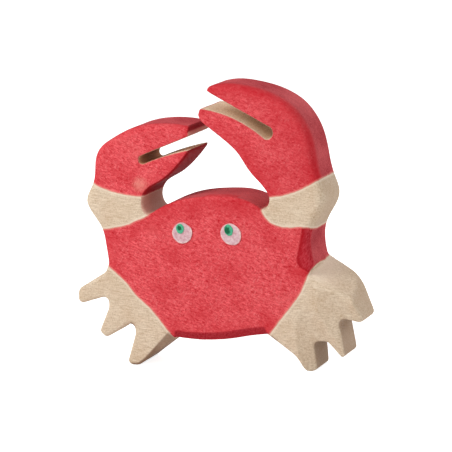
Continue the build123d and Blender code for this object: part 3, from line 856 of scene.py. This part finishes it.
for share, tint in ((thick, "#E6C9CC"), (ridge, "#F0DCD4"), (thinned, "#E39A98")):
    white = add(tree, "ShaderNodeMix", {
        FACTOR: share, UNDER: white, OVER: linear(tint)}, data_type="RGBA").outputs[MIXED]
tree.links.new(white, shader.inputs["Base Color"])
shader.inputs["Roughness"].default_value = 0.5
print(eye_white.name, len(tree.nodes), "nodes")

# %% Green paint
# Thick green is even and bright, with a dark core that was stirred into it by the brush.
SWIRL = 0.7 * MM
iris_green, tree, shader = new_material("green_paint_dab")
place = add(tree, "ShaderNodeTexCoord").outputs["Object"]
core = add(tree, "ShaderNodeAttribute", attribute_name="dark_core").outputs["Fac"]
swirl = add(tree, "ShaderNodeTexNoise", {
    "Vector": place, "Scale": 1 / SWIRL, "Detail": 2, "Roughness": 0.6})
stirred = add(tree, "ShaderNodeMath", {0: core, 1: swirl.outputs[0]}, operation="ADD")
dark = add(tree, "ShaderNodeMapRange", {
    "Value": stirred.outputs[0], "From Min": 0.6, "From Max": 1.0})
green = add(tree, "ShaderNodeMix", {
    FACTOR: dark.outputs[0], UNDER: linear("#4DB287"), OVER: linear("#005C3A")}, data_type="RGBA")
tree.links.new(green.outputs[MIXED], shader.inputs["Base Color"])
shader.inputs["Roughness"].default_value = 0.45
shader.inputs["Specular IOR Level"].default_value = 0.2
print(iris_green.name, len(tree.nodes), "nodes")

# %% Put each finish on its pieces
finishes = [
    (limewood, "bare_wood", [pieces[name] for name in BARE]),
    (glaze, "red_glaze", [pieces[name] for name in GLAZED]),
    (eye_white, "eye_white_paint", eye_whites),
    (iris_green, "iris_paint", irises),
]
for material, slot_name, group in finishes:
    for piece in group:
        piece.data.materials.append(material)
    print(material.name, "on", [piece.name for piece in group])

# %% [markdown]
# ## Floor, light and camera
# The figure stands on a plain pale floor. One large soft light comes from the left of the camera, a
# weaker one from the right fills the walls of the board, another from behind shows the back, and an
# even white sky does the rest. More light would wash the red out, so the floor adds a glow of its own
# that only the camera, mirrors and glass see, and it reads as white with a faint shadow at the feet.

# %% A pale floor
# White paper is matt and even.
FLOOR_HALF, FLOOR_GLOW = 6, 0.85
floor_mesh = bmesh.new()
bmesh.ops.create_grid(floor_mesh, x_segments=1, y_segments=1, size=FLOOR_HALF)
floor = new_object("floor", floor_mesh)
paper = bpy.data.materials.new("white_paper")
paper.use_nodes = True
tree = paper.node_tree
tree.nodes.clear()
rays = add(tree, "ShaderNodeLightPath").outputs
seen = rays["Is Camera Ray"]
for kind in ("Is Glossy Ray", "Is Transmission Ray"):
    seen = add(tree, "ShaderNodeMath", {0: seen, 1: rays[kind]}, operation="MAXIMUM").outputs[0]
lift = add(tree, "ShaderNodeMath", {0: seen, 1: FLOOR_GLOW}, operation="MULTIPLY")
matt = add(tree, "ShaderNodeBsdfDiffuse", {"Color": linear("#EDEDED")})
glow = add(tree, "ShaderNodeEmission", {"Color": (1, 1, 1, 1), "Strength": lift.outputs[0]})
both = add(tree, "ShaderNodeAddShader", {0: matt.outputs[0], 1: glow.outputs[0]})
add(tree, "ShaderNodeOutputMaterial", {"Surface": both.outputs[0]})
floor.data.materials.append(paper)
print(floor.name, "is", paper.name)

# %% Three soft lights
# each light is its power in watts, then its azimuth and elevation in degrees
LIGHTS = {"key_light": (2.25, -34, 38), "fill_light": (0.62, 80, 25), "back_light": (0.85, 165, 30)}
LIGHT_WIDTH, LIGHT_AWAY = 0.35, 0.6
FIGURE_MIDDLE = Vector((0, 0, 0.047))


def aim(azimuth, elevation):
    a, e = math.radians(azimuth), math.radians(elevation)
    return Vector((math.sin(a) * math.cos(e), -math.cos(a) * math.cos(e), math.sin(e)))


for name, (watts, azimuth, elevation) in LIGHTS.items():
    lamp = bpy.data.lights.new(name, "AREA")
    lamp.shape = "DISK"
    lamp.size = LIGHT_WIDTH
    lamp.energy = watts
    placed = bpy.data.objects.new(name, lamp)
    bpy.context.scene.collection.objects.link(placed)
    placed.location = FIGURE_MIDDLE + aim(azimuth, elevation) * LIGHT_AWAY
    placed.rotation_euler = aim(azimuth, elevation).to_track_quat("Z", "Y").to_euler()
    print(name, watts, "W")

# %% An even sky
SKY = 0.43
world = bpy.data.worlds.new("even_sky")
bpy.context.scene.world = world
world.use_nodes = True
tree = world.node_tree
tree.nodes.clear()
sky = add(tree, "ShaderNodeBackground", {"Color": (1, 1, 1, 1), "Strength": SKY})
add(tree, "ShaderNodeOutputWorld", {"Surface": sky.outputs[0]})
print(world.name, "at", SKY)

# %% The camera, right of the figure's front and a little above
AZIMUTH, ELEVATION, TILT = 20, 10, math.radians(2)
# where it looks, how far off it is and half the width it sees there
TARGET, AWAY, HALF_VIEW = Vector((0.85, 0, 46.7)) * MM, 900 * MM, 75.33 * MM
back = aim(AZIMUTH, ELEVATION)
right = Vector((math.cos(math.radians(AZIMUTH)), math.sin(math.radians(AZIMUTH)), 0))
up = back.cross(right)
side = right * math.cos(TILT) - up * math.sin(TILT)
top = right * math.sin(TILT) + up * math.cos(TILT)
lens = bpy.data.cameras.new("camera")
lens.sensor_width = 36
lens.angle = 2 * math.atan(HALF_VIEW / AWAY)
lens.clip_start = 0.05
camera = bpy.data.objects.new("camera", lens)
bpy.context.scene.collection.objects.link(camera)
facing = Matrix((side, top, back)).transposed().to_4x4()
camera.matrix_world = Matrix.Translation(TARGET + back * AWAY) @ facing
bpy.context.scene.camera = camera
bpy.context.scene.view_settings.view_transform = "Standard"
print("camera at", [round(c, 3) for c in camera.location])
